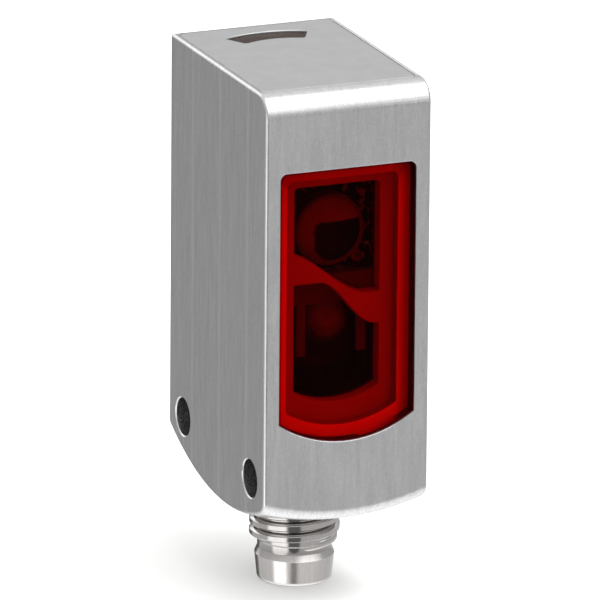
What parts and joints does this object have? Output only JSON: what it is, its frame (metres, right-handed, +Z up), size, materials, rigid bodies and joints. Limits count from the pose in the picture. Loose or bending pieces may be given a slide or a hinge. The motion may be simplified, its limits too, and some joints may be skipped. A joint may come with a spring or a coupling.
{
  "type": "photoelectric sensor",
  "caption": "Slim upright stainless steel optical sensor with a red front window, an arc-shaped status indicator in its top, cross holes for screws and a round threaded plug connector below.",
  "frame": {"origin": "under the middle of the housing's plan, level with the lower end of the connector", "axes": "+Z up from the connector to the top cover, -Y out of the front window, +X across the housing, to the right for someone who faces the window"},
  "size_m": [0.0152, 0.0226, 0.0471],
  "materials": {
    "housing_steel": "ground and bead-blasted stainless steel",
    "cover_steel": "bead-blasted stainless steel",
    "connector_steel": "turned stainless steel",
    "red_acrylic": "polished red acrylic",
    "sealing_bead": "cured translucent adhesive",
    "mask_plastic": "fine moulded texture",
    "black_plastic": "fine moulded texture",
    "clear_lens": "polished",
    "filter_lens": "polished",
    "smoked_acrylic": "polished",
    "led_ceramic": "moulded",
    "silicon": "polished die under clear resin",
    "blackened_steel": "black oxide",
    "circuit_board": "green solder mask",
    "chip_epoxy": "moulded epoxy",
    "capacitor_ceramic": "fired ceramic",
    "resistor_film": "glazed",
    "choke_winding": "varnished copper wire",
    "solder": "reflowed",
    "gold_contacts": "gold plated",
    "green_led_resin": "clear resin",
    "yellow_led_resin": "clear resin",
    "seal_rubber": "moulded",
    "insert_plastic": "moulded"
  },
  "bodies": {
    "root": {"housing": "housing_steel", "top_cover": "cover_steel", "indicator_lens": "smoked_acrylic", "front_window": "red_acrylic", "window_gasket": "sealing_bead", "light_mask": "mask_plastic", "optics_carrier": "black_plastic", "sender_lens": "clear_lens", "sender_tube": "black_plastic", "led_aperture": "black_plastic", "sender_led": "led_ceramic", "receiver_lens": "filter_lens", "receiver_chip": "silicon", "receiver_shield": "blackened_steel", "optics_board": "circuit_board", "signal_chip": "chip_epoxy", "link_header": "black_plastic", "link_pins": "gold_contacts", "main_board": "circuit_board", "control_chip": "chip_epoxy", "driver_chip": "chip_epoxy", "output_transistors": "chip_epoxy", "capacitors": "capacitor_ceramic", "resistors": "resistor_film", "choke": "choke_winding", "rear_frame": "black_plastic", "indicator_board": "circuit_board", "edge_solder": "solder", "green_led": "green_led_resin", "yellow_led": "yellow_led_resin", "connector_shell": "connector_steel", "connector_seal": "seal_rubber", "connector_insert": "insert_plastic", "contact_pin_1": "gold_contacts", "contact_pin_2": "gold_contacts", "contact_pin_3": "gold_contacts", "contact_pin_4": "gold_contacts", "tail_solder": "solder"}
  },
  "joints": []
}
